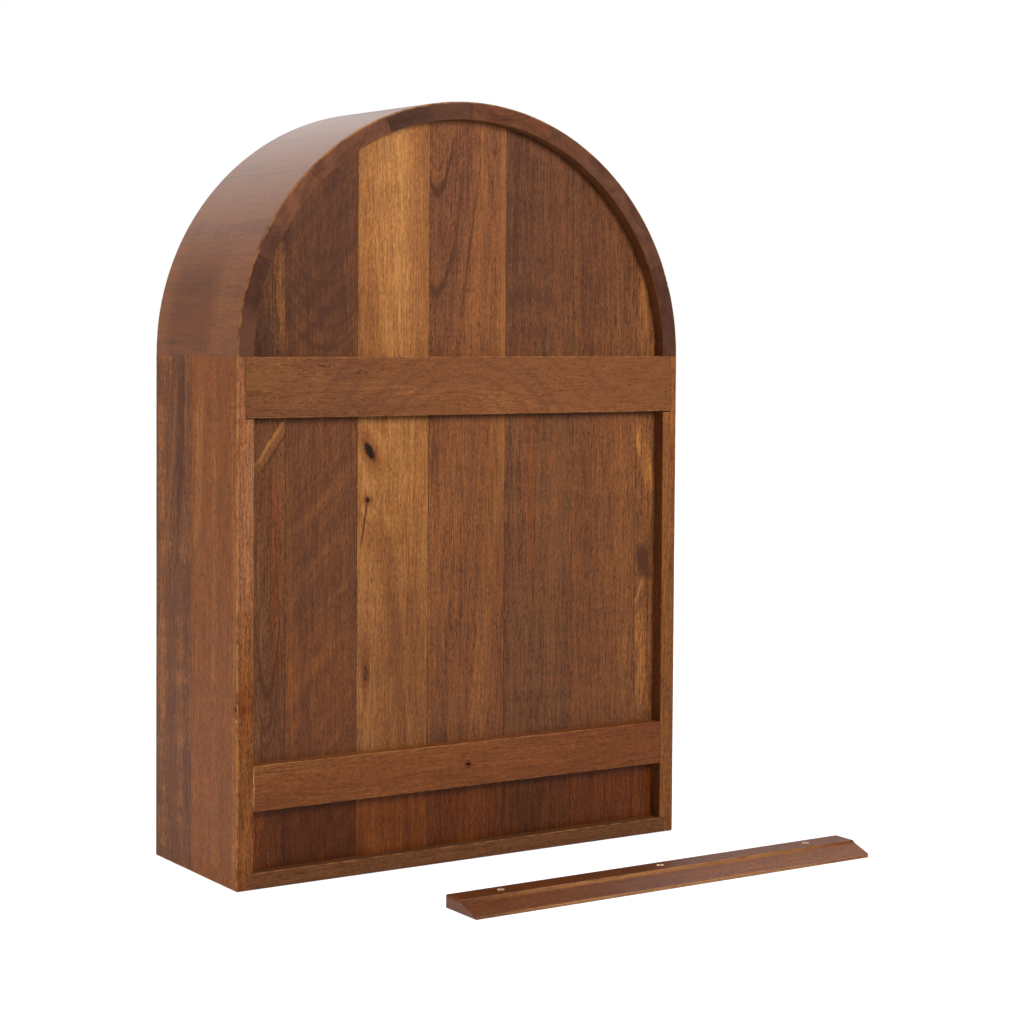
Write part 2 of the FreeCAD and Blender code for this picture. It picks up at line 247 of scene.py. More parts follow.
# %% Hang the lamps
for name, place, aim, size, power, spread in (
    ("panel_lamp", (-0.35, 1.6, 1.1), (0.0, 0.08, 0.62), 0.7, 6.9, 90),
    ("side_lamp", (2.7, -0.6, 0.8), (0.25, 0.0, 0.4), 1.6, 48, 180),
    ("front_lamp", (-1.4, -2.8, 1.6), (0.0, 0.0, 0.4), 2.0, 30, 180),
    ("top_lamp", (0.3, -0.1, 2.4), (0.0, 0.0, 0.0), 1.2, 18, 180),
):
    lamp = bpy.data.lights.new(name, "AREA")
    lamp.size, lamp.energy, lamp.spread = size, power, np.radians(spread)
    holder = bpy.data.objects.new(name, lamp)
    holder.location = place
    holder.rotation_euler = (Vector(aim) - Vector(place)).to_track_quat("-Z", "Y").to_euler()
    holder.visible_glossy = False
    bpy.context.collection.objects.link(holder)

# %% [markdown]
# ## Grain: rings round a pith
# A board is a slice of a trunk, and its grain is where the slice cuts the year rings. Painted stripes would not meet
# at the edges of the board, so the grain is solid: each point's distance from a leaning, wavering pith is counted in
# ring widths. Where the pith leans towards the face the rings come out as the tall loops that joiners call cathedrals.
# Board coordinates are metres across the board, through it and along it.

# %% Shared group: grain field, counting rings
GRAIN_MASKS = ("Rings", "Bands", "Fibres", "Pores", "Figure")
grain_field, got, out = shared(
    "grain field",
    {"Board": NOWHERE, "Seed": 0.0, "Pith": (0, 0.1, 0), "Lean": NOWHERE, "Ring Width": 0.004, "Waver": 0.004,
     "Swirl": 0.0, "Tilt": 0.0, "Figure Scale": 1.0},
    GRAIN_MASKS,
)
t = grain_field
shift = scaled(t, (7.31, 3.17, 11.73), got["Seed"])
across, through, along = add(t, "SeparateXYZ", {"Vector": got["Board"]}).outputs
slow, quick = (
    vec(t, "SUBTRACT", cloud(t, got["Board"], stretch, shift, detail, True), (0.5, 0.5, 0.5))
    for stretch, detail in (((16, 16, 3.0), 1.0), ((75, 75, 14), 2.0))
)
drift = scaled(t, vec(t, "MULTIPLY_ADD", quick, (0.22, 0.22, 0.22), slow), calc(t, "MULTIPLY", got["Waver"], 4.0))
straight = vec(t, "SUBTRACT", vec(t, "SUBTRACT", got["Board"], got["Pith"]), scaled(t, got["Lean"], along))
radius = vec(t, "LENGTH", vec(t, "MULTIPLY", vec(t, "ADD", straight, drift), (1, 1, 0)))
ring_count = calc(t, "ADD", calc(t, "DIVIDE", radius, got["Ring Width"]), got["Swirl"])
print("nodes that count rings:", len(t.nodes))


# %% Shared group: grain field, its five masks
def along_count(step, offset, detail=1.0):
    """Noise that depends on the ring count alone, so it follows the rings."""
    own = calc(t, "ADD", calc(t, "MULTIPLY", got["Seed"], 5.7), offset)
    spot = calc(t, "ADD", calc(t, "MULTIPLY", ring_count, step), own)
    wires = {"W": spot, "Scale": 1.0, "Detail": detail, "Roughness": 0.6}
    return add(t, "TexNoise", wires, noise_dimensions="1D").outputs[0]


def shares(first, first_share, second, second_share):
    return calc(t, "ADD", calc(t, "MULTIPLY", first, first_share), calc(t, "MULTIPLY", second, second_share))


part = calc(t, "FRACT", calc(t, "ADD", ring_count, calc(t, "MULTIPLY", along_count(0.55, 3.0), 2.2)))
closing = calc(t, "MULTIPLY", calc(t, "SUBTRACT", 1.0, part), 5.0, clamp=True)
late_wood = calc(t, "MULTIPLY", calc(t, "POWER", part, 2.5), closing)
bold = fade(t, along_count(0.31, 17.0), 0.35, 0.68, 0.12, 1.0)
t.links.new(calc(t, "MULTIPLY", late_wood, bold), out["Rings"])

broad = cloud(t, got["Board"], (26, 26, 1.7), shift, 2.0)
stripes = along_count(0.27, 31.0, 2.0)
t.links.new(fade(t, shares(broad, 0.5, stripes, 0.5), 0.2, 0.8), out["Bands"])

wavy = vec(t, "MULTIPLY_ADD", drift, (1, 1, 0), got["Board"])
coarse = cloud(t, wavy, (700, 700, 24), shift, 2.0)
fine = cloud(t, wavy, (1500, 1500, 230), shift, 1.0)
t.links.new(fade(t, shares(coarse, 0.48, fine, 0.52), 0.3, 0.7), out["Fibres"])
t.links.new(fade(t, cloud(t, wavy, (1150, 1150, 150), shift, 1.0), 0.57, 0.7), out["Pores"])

raised = calc(t, "MULTIPLY_ADD", across, got["Tilt"], along)
slanted = add(t, "CombineXYZ", {"X": across, "Y": through, "Z": raised}).outputs[0]
slanted = scaled(t, slanted, got["Figure Scale"])
t.links.new(fade(t, cloud(t, slanted, (10, 10, 55), shift, 3.0), 0.33, 0.68), out["Figure"])
print("grain field nodes:", len(t.nodes))

# %% [markdown]
# ## Stain and finish
# The wood was stained and given a satin finish. Stain darkens open pores and late wood, and leaves dense wood paler.
# A colour ramp per board would hide that rule in many copies, so one group takes three tones of a board and the grain
# masks, and gives the colour, a roughness and a height for the bump.

# %% Shared group: stain
SOAKED = (0.36, 0.29, 0.24, 1)
stain, got, out = shared(
    "stain",
    {"Rings": 0.0, "Bands": 0.5, "Fibres": 0.5, "Pores": 0.0, "Figure": 0.5,
     "Dark": BLACK, "Middle": BLACK, "Light": BLACK,
     "Ring Depth": 0.5, "Fibre Depth": 0.3, "Pore Depth": 0.4, "Figure Depth": 0.1},
    ("Colour", "Roughness", "Height"),
)
t = stain
fibre_swing, figure_swing = (calc(t, "SUBTRACT", got[mask], 0.5) for mask in ("Fibres", "Figure"))
tone = calc(t, "MULTIPLY_ADD", fibre_swing, calc(t, "MULTIPLY", got["Fibre Depth"], 0.5), got["Bands"])
tone = calc(t, "MULTIPLY_ADD", figure_swing, got["Figure Depth"], tone)
colour = mix(t, calc(t, "MULTIPLY", tone, 2.0, clamp=True), got["Dark"], got["Middle"])
colour = mix(t, calc(t, "MULTIPLY_ADD", tone, 2.0, -1.0, clamp=True), colour, got["Light"])
colour = scaled(t, colour, calc(t, "MULTIPLY_ADD", fibre_swing, got["Fibre Depth"], 1.0))
taken = largest(t, *(calc(t, "MULTIPLY", got[f"{mask}s"], got[f"{mask} Depth"]) for mask in ("Ring", "Pore")))
t.links.new(mix(t, taken, colour, SOAKED, "MULTIPLY"), out["Colour"])
satin = calc(t, "MULTIPLY_ADD", got["Fibres"], 0.08, 0.33)
t.links.new(calc(t, "MULTIPLY_ADD", taken, 0.16, satin), out["Roughness"])
t.links.new(calc(t, "SUBTRACT", calc(t, "MULTIPLY", got["Fibres"], 0.35), taken), out["Height"])
print("stain nodes:", len(t.nodes))

# %% [markdown]
# ## Worn arrises with painted highlights, and glue lines
# Handling and sanding thin the stain along an arris, the sharp line where two faces meet, so it shows paler and more
# golden; the pale line is also a painted highlight for the light that a rounded arris catches. A pointiness node would
# need a welded mesh. A board knows its own box instead: the second smallest of a point's distances to the three pairs
# of faces is small only near an arris. The same group with a narrow, dark line draws the glue joint between neighbours.
# The half-round top is no box, so it has a group in polar terms. Stain also depends on the face: end grain drinks more
# of it, so a third group tells faces apart. That group also paints light and shade onto faces that look one way: a
# painted paler rear edge, a painted darker top, painted shade low on rear faces.


# %% Shared group: board edges
def second_smallest(t, a, b, c):
    """Of three numbers, the one in the middle: the larger of min(a, b) and the smaller of max(a, b) and c."""
    return calc(t, "MAXIMUM", calc(t, "MINIMUM", a, b), calc(t, "MINIMUM", calc(t, "MAXIMUM", a, b), c))


def broken_line(t, place, distance, width, seed):
    """A mask that is 1 on the line and 0 beyond its width, whose width comes and goes along the line."""
    ragged = cloud(t, place, (95, 95, 95), vec(t, "MULTIPLY", (1, 1, 1), seed), 4.0)
    reach = calc(t, "MULTIPLY", width, fade(t, ragged, 0.32, 0.66, 0.25, 1.7))
    return calc(t, "SUBTRACT", 1.0, fade(t, distance, 0.0, reach))


board_edges, got, out = shared(
    "board edges",
    {"Place": NOWHERE, "Centre": NOWHERE, "Half": (1, 1, 1), "Width": 0.002, "Seed": 0.0},
    ("Line",),
)
t = board_edges
inside = vec(t, "SUBTRACT", got["Half"], vec(t, "ABSOLUTE", vec(t, "SUBTRACT", got["Place"], got["Centre"])))
parts = add(t, "SeparateXYZ", {"Vector": inside}).outputs
t.links.new(broken_line(t, got["Place"], second_smallest(t, *parts), got["Width"], got["Seed"]), out["Line"])
print("board edge nodes:", len(t.nodes))


# %% Shared groups: rim edges and facing
def long_side(t, a, b):
    """The long side of a right triangle: the root of a squared plus b squared."""
    return calc(t, "SQRT", calc(t, "ADD", calc(t, "MULTIPLY", a, a), calc(t, "MULTIPLY", b, b)))


SPRING, JOINT_WIDTH = 0.508, 0.0007
rim_edges, got, out = shared(
    "rim edges",
    {"Place": NOWHERE, "Spring": SPRING, "Outer": 0.254, "Half Depth": 0.09525, "Middle Angle": 0.0,
     "Half Angle": 0.19635, "Width": 0.002, "Seed": 0.0},
    ("Line", "Joint"),
)
t = rim_edges
x, y, z = add(t, "SeparateXYZ", {"Vector": got["Place"]}).outputs
rise = calc(t, "SUBTRACT", z, got["Spring"])
reach = long_side(t, x, rise)
wall = calc(t, "SUBTRACT", got["Outer"], reach)
deep = calc(t, "SUBTRACT", got["Half Depth"], calc(t, "ABSOLUTE", y))
t.links.new(broken_line(t, got["Place"], calc(t, "MAXIMUM", wall, deep), got["Width"], got["Seed"]), out["Line"])
off = calc(t, "ABSOLUTE", calc(t, "SUBTRACT", calc(t, "ARCTAN2", rise, x), got["Middle Angle"]))
to_joint = calc(t, "MULTIPLY", calc(t, "SUBTRACT", got["Half Angle"], off), reach)
t.links.new(broken_line(t, got["Place"], to_joint, JOINT_WIDTH, got["Seed"]), out["Joint"])

facing, got, out = shared("facing", {"Normal": Z, "Towards": Z, "Least": 0.7}, ("Front", "Both"))
t = facing
agree = vec(t, "DOT_PRODUCT", got["Normal"], got["Towards"])
most = calc(t, "MULTIPLY_ADD", got["Least"], 0.2, 0.8)
t.links.new(fade(t, agree, got["Least"], most), out["Front"])
t.links.new(fade(t, calc(t, "ABSOLUTE", agree), got["Least"], most), out["Both"])
print("edge groups:", board_edges.name, rim_edges.name, facing.name)

# %% [markdown]
# ## Knots and streaks
# A knot is a branch that the trunk grew round, so the rings bend about it. The knot group gives a dark core, a reddish
# halo and a swirl that is added to the ring count, which closes the rings round it. A streak is a slanting line with
# soft ends: pale sapwood when it is wide, a drying crack when it is thin. A loop is the end of a tall ring, a parabola.


# %% Shared group: knot
def from_spot(t, got):
    """How far a point lies sideways and upwards from a mark's spot."""
    x, _, z = add(t, "SeparateXYZ", {"Vector": vec(t, "SUBTRACT", got["Board"], got["Spot"])}).outputs
    return x, z


def unrest(t, got, amount, stretch, shift, detail=3.0):
    """Noise about zero that makes an outline ragged."""
    return calc(t, "MULTIPLY", calc(t, "SUBTRACT", cloud(t, got["Board"], stretch, shift, detail), 0.5), amount)


knot, got, out = shared(
    "knot",
    {"Board": NOWHERE, "Spot": NOWHERE, "Size": 0.004, "Tall": 1.6, "Slant": 0.0},
    ("Core", "Halo", "Swirl"),
)
t = knot
x, z = from_spot(t, got)
sideways = calc(t, "DIVIDE", calc(t, "SUBTRACT", x, calc(t, "MULTIPLY", z, got["Slant"])), got["Size"])
upwards = calc(t, "DIVIDE", z, calc(t, "MULTIPLY", got["Size"], got["Tall"]))
away = calc(t, "ADD", long_side(t, sideways, upwards), unrest(t, got, 0.9, (420, 420, 260), (3, 5, 9), 2.0))
t.links.new(fade(t, away, 0.55, 1.15, 1.0, 0.0), out["Core"])
t.links.new(fade(t, away, 0.7, 3.2, 1.0, 0.0), out["Halo"])
drawn_out = long_side(t, sideways, calc(t, "MULTIPLY", upwards, 0.2 ** 0.5))
t.links.new(calc(t, "MULTIPLY", calc(t, "EXPONENT", calc(t, "MULTIPLY", drawn_out, -0.42)), 4.0), out["Swirl"])
print("knot nodes:", len(t.nodes))

# %% Shared groups: streak and loop
streak, got, out = shared(
    "streak",
    {"Board": NOWHERE, "Spot": NOWHERE, "Slant": 0.0, "Width": 0.003, "Reach": 0.03, "Ragged": 0.001},
    ("Mask",),
)
t = streak
x, z = from_spot(t, got)
wander = unrest(t, got, calc(t, "MULTIPLY", got["Ragged"], 4.0), (160, 160, 60), (8, 2, 4))
aside = calc(t, "ABSOLUTE", calc(t, "ADD", calc(t, "SUBTRACT", x, calc(t, "MULTIPLY", z, got["Slant"])), wander))
body = calc(t, "SUBTRACT", 1.0, fade(t, calc(t, "DIVIDE", aside, got["Width"]), 0.35, 1.0))
to_end = calc(t, "DIVIDE", calc(t, "ABSOLUTE", z), got["Reach"])
t.links.new(calc(t, "MULTIPLY", body, fade(t, to_end, 0.45, 1.0, 1.0, 0.0)), out["Mask"])

loop, got, out = shared(
    "loop",
    {"Board": NOWHERE, "Spot": NOWHERE, "Bend": 150.0, "Width": 0.006, "Reach": 0.07, "Ragged": 0.02},
    ("Mask",),
)
t = loop
x, z = from_spot(t, got)
curve = calc(t, "MULTIPLY", calc(t, "MULTIPLY", x, x), got["Bend"])
wander = unrest(t, got, got["Ragged"], (120, 120, 40), (6, 1, 3))
above = calc(t, "ABSOLUTE", calc(t, "ADD", calc(t, "SUBTRACT", z, curve), wander))
body = calc(t, "SUBTRACT", 1.0, fade(t, calc(t, "DIVIDE", above, got["Width"]), 0.1, 1.0))
to_end = calc(t, "DIVIDE", calc(t, "ABSOLUTE", z), got["Reach"])
t.links.new(calc(t, "MULTIPLY", body, fade(t, to_end, 0.3, 1.0, 1.0, 0.0)), out["Mask"])
print("mark groups:", knot.name, streak.name, loop.name)

# %% [markdown]
# ## Tones of the stain
# One stain was wiped over boards of very different colour, so a short list of named tones serves them all. Each board
# picks a dark, a middle and a light one. They are a little more saturated than the wood looks, since the satin finish
# lays some white reflection over them.

# %% Named tones
TONES = {
    "ink": screen(34, 16, 9),
    "soot": screen(62, 38, 27),
    "slate": screen(66, 44, 37),
    "cocoa": screen(71, 43, 29),
    "damson": screen(73, 45, 36),
    "garnet": screen(80, 37, 14),
    "chocolate": screen(80, 47, 31),
    "mauve": screen(90, 58, 44),
    "plum": screen(97, 58, 39),
    "walnut": screen(98, 52, 26),
    "fig": screen(104, 66, 49),
    "halo": screen(104, 46, 20),
    "mahogany": screen(106, 54, 25),
    "umber": screen(106, 64, 39),
    "olive": screen(112, 71, 43),
    "clay": screen(112, 72, 52),
    "chestnut": screen(124, 75, 43),
    "russet": screen(128, 72, 36),
    "tawny": screen(142, 89, 49),
    "fawn": screen(150, 93, 60),
    "golden": screen(150, 96, 51),
    "honey": screen(184, 127, 72),
    "sapwood": screen(200, 146, 98),
    "cream": screen(232, 200, 164),
}
print("tones:", ", ".join(TONES))

# %% [markdown]
# ## A board's material
# Every board gets the same chain: its own coordinates from a Mapping node, grain, stain, marks, painted light and
# shade on chosen faces, painted shade low on rear faces, glue line, a pale arris line that is part wear and part
# painted highlight, and at the end one Principled shader. The Mapping turns object coordinates so that the third axis
# runs along the board. Places of marks are measured in metres from the middle that the board is given, which for
# upright boards lies at floor level.
#
# A mark is a row of values. Patches and streaks give tone, strength, place across, place along, slant, width, reach and
# raggedness. Loops and arcs give a bend in place of the slant, and an arc is a loop that lies down. Knots give place
# across, place along, size, height over width and slant. Faces give tone, strength, direction and least agreement.


# %% Functions: coordinates, tints and masks of a board
def board_tree(name, middle, across, along):
    """A new material, its tree, the object's coordinates and normal, and the board's own coordinates."""
    material = bpy.data.materials.new(name)
    material.use_nodes = True
    tree = material.node_tree
    tree.nodes.clear()
    axes = Matrix((across, Vector(along).cross(Vector(across)), along))
    known = add(tree, "TexCoord").outputs
    wires = {"Vector": known["Object"], "Location": -(axes @ Vector(middle)), "Rotation": axes.to_euler()}
    return material, tree, known["Object"], known["Normal"], add(tree, "Mapping", wires).outputs[0]


def paint(tree, mask, strength, colour, paint_colour, blend="MIX"):
    return mix(tree, calc(tree, "MULTIPLY", mask, strength), colour, paint_colour, blend)


def tint(tree, mask, strength, colour, tone, from_tone):
    """Multiplies by the factor per channel that turns one tone into another, so that the grain shows through."""
    factor = np.array(TONES[tone]) / np.array(TONES[from_tone])
    return paint(tree, mask, strength, colour, (*factor[:3].tolist(), 1.0), "MULTIPLY")


def mask_of(tree, group, field, across, along, bow, width, reach, ragged):
    """The mask of one mark, whose bow is the slant of a streak or the bend of a loop."""
    sizes = {"bend" if group == loop else "slant": bow, "width": width, "reach": reach, "ragged": ragged}
    return use(tree, group, board=field, spot=(across, 0, along), **sizes)["Mask"]


def draw_marks(tree, board, fibres, colour, streaks, loops, arcs):
    """Draws lines that show less on dark fibres, where they keep a least share of their strength."""
    lying = add(tree, "Mapping", {"Vector": board, "Rotation": (0, np.pi / 2, 0)}).outputs[0]
    kinds = (streak, board, 0.55, streaks), (loop, board, 0.6, loops), (loop, lying, 0.6, arcs)
    for group, field, least, marks in kinds:
        for tone, strength, *shape in marks:
            depth = fade(tree, fibres, 0.25, 0.75, least * strength, strength)
            colour = paint(tree, mask_of(tree, group, field, *shape), depth, colour, TONES[tone])
    return colour


print("a tint from umber to plum:", [round(p / u, 2) for p, u in zip(TONES["plum"], TONES["umber"])][:3])


# %% Functions: end grain and edges of a board
def end_grain(tree, board, normal, along, seed, rings, ends, colour, rough, lacquer):
    """Ends are a tone and a strength. Cut fibres drink stain in blotches, look rough and keep no lacquer."""
    tone, strength = ends
    cut_across = use(tree, facing, normal=normal, towards=along)["Both"]
    blotch = fade(tree, cloud(tree, board, (50, 90, 20), (seed, 2.0, 5.0)), 0.3, 0.7, 0.74, 1.26)
    soaked = paint(tree, rings, 0.6, scaled(tree, TONES[tone][:3], blotch), TONES["ink"])
    colour = paint(tree, cut_across, strength, colour, soaked)
    rough = fade(tree, cut_across, 0.0, 1.0, rough, 0.8)
    return colour, rough, calc(tree, "MULTIPLY", calc(tree, "SUBTRACT", 1.0, cut_across), lacquer)


def box_line(tree, place, box, seed):
    """A broken line along the edges of a box, which is a middle, half sizes and the line's width."""
    centre, half, width = box
    return use(tree, board_edges, place=place, centre=centre, half=half, width=width, seed=seed)["Line"]


def edge_lines(tree, place, seed, colour, height, glue, wear_and_highlight, rim):
    """Dark glue lines, and pale lines that are part wear and part painted highlight. Glue and the pale line are boxes,
    rim is a stave's angle and a line width.
    """
    if glue:
        line = box_line(tree, place, glue, seed)
        colour = paint(tree, line, 0.75, colour, TONES["ink"])
        height = calc(tree, "SUBTRACT", height, calc(tree, "MULTIPLY", line, 1.5))
    if wear_and_highlight:
        # Pale honey line along the arrises: part wear, part painted highlight.
        colour = paint(tree, box_line(tree, place, wear_and_highlight, seed + 0.5), 0.8, colour, TONES["honey"])
    if rim:
        made = use(tree, rim_edges, place=place, middle_angle=rim[0], width=rim[1], seed=seed)
        colour = paint(tree, made["Joint"], 0.35, colour, TONES["ink"])
        # The rim's pale line is part wear, part painted highlight.
        colour = paint(tree, made["Line"], 0.5, colour, TONES["honey"])
    return colour, height


# %% Function: wood for one board
def board_wood(name, middle, across, along, tones, seed, pith=(0.0, 0.08), lean=(0.0, 0.0), ring=0.004, waver=0.003,
               depths=(0.3, 0.6, 0.5, 0.1), tilt=0.0, figure_scale=1.0, knots=(), streaks=(), patches=(), loops=(),
               arcs=(), faces=(), glue=None, wear_and_highlight=None, rim=None, ends=None, painted_low_shade=None, shine=0.12, coat=None):
    """Depths are those of rings, fibres, pores and cross figure. The painted low shade is two heights and a tint:
    painted shade that darkens rear faces below the lower height and fades out up to the upper one. Coat is the height
    where the finish starts to thicken, the height where it is thickest, and its weight there."""
    material, tree, place, normal, board = board_tree(name, middle, across, along)
    branches = [use(tree, knot, board=board, spot=(x, 0, z), size=size, tall=tall, slant=slant)
                for x, z, size, tall, slant in knots]
    swirl = 0.0
    for branch in branches:
        swirl = calc(tree, "ADD", swirl, branch["Swirl"])
    grain = use(tree, grain_field, board=board, seed=seed, pith=(*pith, 0), lean=(*lean, 0), ring_width=ring,
                waver=waver, swirl=swirl, tilt=tilt, figure_scale=figure_scale)
    stained = use(tree, stain, **{mask.lower(): grain[mask] for mask in GRAIN_MASKS},
                  **dict(zip(("dark", "middle", "light"), (TONES[tone] for tone in tones))),
                  **dict(zip(("ring_depth", "fibre_depth", "pore_depth", "figure_depth"), depths)))
    colour, height, rough = stained["Colour"], stained["Height"], stained["Roughness"]
    upwards = add(tree, "SeparateXYZ", {"Vector": place}).outputs["Z"]
    lacquer = fade(tree, upwards, coat[0], coat[1], 0.0, coat[2]) if coat else 0.0
    if ends:
        colour, rough, lacquer = end_grain(
            tree, board, normal, along, seed, grain["Rings"], ends, colour, rough, lacquer)
    # Faces tint faces that look one way; here they paint light on a rear edge and shade on a top.
    for tone, strength, towards, least in faces:
        mask = use(tree, facing, normal=normal, towards=towards, least=least)["Front"]
        colour = tint(tree, mask, strength, colour, tone, tones[1])
    for tone, strength, *shape in patches:
        colour = tint(tree, mask_of(tree, streak, board, *shape), strength, colour, tone, tones[1])
    for branch in branches:
        colour = paint(tree, branch["Halo"], 0.6, colour, TONES["halo"])
        colour = mix(tree, branch["Core"], colour, TONES["ink"])
        height = calc(tree, "SUBTRACT", height, calc(tree, "MULTIPLY", branch["Core"], 2.0))
    colour = draw_marks(tree, board, grain["Fibres"], colour, streaks, loops, arcs)
    # Painted shade: rear faces are darkened low down, fading out upwards.
    if painted_low_shade:
        low = fade(tree, upwards, painted_low_shade[0], painted_low_shade[1], 1.0, 0.0)
        rear = use(tree, facing, normal=normal, towards=Y)["Front"]
        colour = paint(tree, low, rear, colour, painted_low_shade[2], "MULTIPLY")
    colour, height = edge_lines(tree, place, seed, colour, height, glue, wear_and_highlight, rim)
    bump = add(tree, "Bump", {"Height": height, "Strength": 0.25, "Distance": 0.0004})
    wires = {"Base Color": colour, "Roughness": rough, "Normal": bump.outputs[0], "Specular IOR Level": shine,
             "Coat Weight": lacquer, "Coat Roughness": 0.26}
    shader = add(tree, "BsdfPrincipled", wires)
    tree.links.new(shader.outputs[0], add(tree, "OutputMaterial").inputs[0])
    return material


# %% Functions: measure boards and dress them
def middle_and_half(*nodes):
    """Middle and half sizes of the box round one or more boards, from the lowest and highest corners of each."""
    corners = np.array([np.array(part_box(node)) for node in nodes])
    low, high = corners[:, 0].min(axis=0), corners[:, 1].max(axis=0)
    return (low + high) / 2, (high - low) / 2


def dress(node, material):
    """Gives a board of the construction model its material in place of the plain one."""
    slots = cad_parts[node].data.materials
    slots.clear()
    slots.append(material)


print("sides together, middle and half sizes:", *middle_and_half("left_side_rear_board", "left_side_front_board"))

# %% [markdown]
# ## The back panel
# Seven upright planks are glued edge to edge and let into a groove. They come from several trees: a chocolate plank
# beside a golden one with knots, then brown, olive and red-brown ones. Their shape is plain, so they keep the solids
# of the model, and the work is in the rings, the marks and the glue lines.

# %% Marks of planks 1 to 4
# The wide chocolate patches near the top of planks 2, 3 and 6 make those planks darker towards the top.
PLANKS = {
    1: dict(
        tones=("plum", "umber", "tawny"), pith=(0.03, 0.05), ring=0.004, waver=0.004, depths=(0.35, 0.8, 0.6, 0.1),
        patches=[("tawny", 0.7, 0.005, 0.405, 0.33, 0.011, 0.050, 0.003),
                 ("tawny", 0.65, 0.006, 0.188, 0.06, 0.010, 0.065, 0.004)],
        streaks=[("soot", 0.8, 0.003, 0.289, 0.2, 0.011, 0.024, 0.004),
                 ("honey", 0.55, 0.009, 0.258, -0.37, 0.0035, 0.018, 0.002),
                 ("honey", 0.4, 0.009, 0.170, -0.12, 0.003, 0.032, 0.002),
                 ("golden", 0.6, 0.004, 0.56, 0.05, 0.006, 0.05, 0.002)]),
    2: dict(
        tones=("umber", "chestnut", "tawny"), pith=(0.05, 0.10), lean=(0.03, 0.0), ring=0.0032, waver=0.002,
        depths=(0.3, 0.75, 0.7, 0.2),
        patches=[("chocolate", 0.55, -0.005, 0.66, 0.0, 0.07, 0.2, 0.004),
                 ("tawny", 0.6, 0.036, 0.62, 0.0, 0.008, 0.14, 0.002)]),
    3: dict(
        tones=("plum", "olive", "chestnut"), pith=(-0.07, 0.07), lean=(-0.02, 0.0), ring=0.003, waver=0.002,
        depths=(0.3, 0.75, 0.6, 0.35),
        patches=[("chocolate", 0.5, 0.0, 0.67, 0.0, 0.09, 0.2, 0.004),
                 ("russet", 0.5, 0.012, 0.42, 0.03, 0.009, 0.16, 0.003)]),
    4: dict(
        tones=("plum", "chestnut", "tawny"), pith=(0.036, 0.108), lean=(0.0, -0.042), ring=0.0042, waver=0.001,
        depths=(0.45, 0.75, 0.6, 0.1),
        streaks=[("golden", 0.5, -0.042, 0.55, 0.0, 0.006, 0.3, 0.001),
                 ("ink", 0.7, 0.029, 0.05, 0.0, 0.0006, 0.035, 0.0006),
                 ("ink", 0.45, -0.002, 0.620, -0.144, 0.0022, 0.1, 0.001),
                 ("ink", 0.35, 0.012, 0.650, -0.1, 0.003, 0.06, 0.001)],
        loops=[("ink", 0.7, 0.036, 0.672, 150, 0.009, 0.08, 0.02),
               ("ink", 0.4, 0.036, 0.694, 220, 0.004, 0.05, 0.02),
               ("ink", 0.6, 0.037, 0.573, 110, 0.008, 0.075, 0.02)]),
}
print("planks with marks:", list(PLANKS))

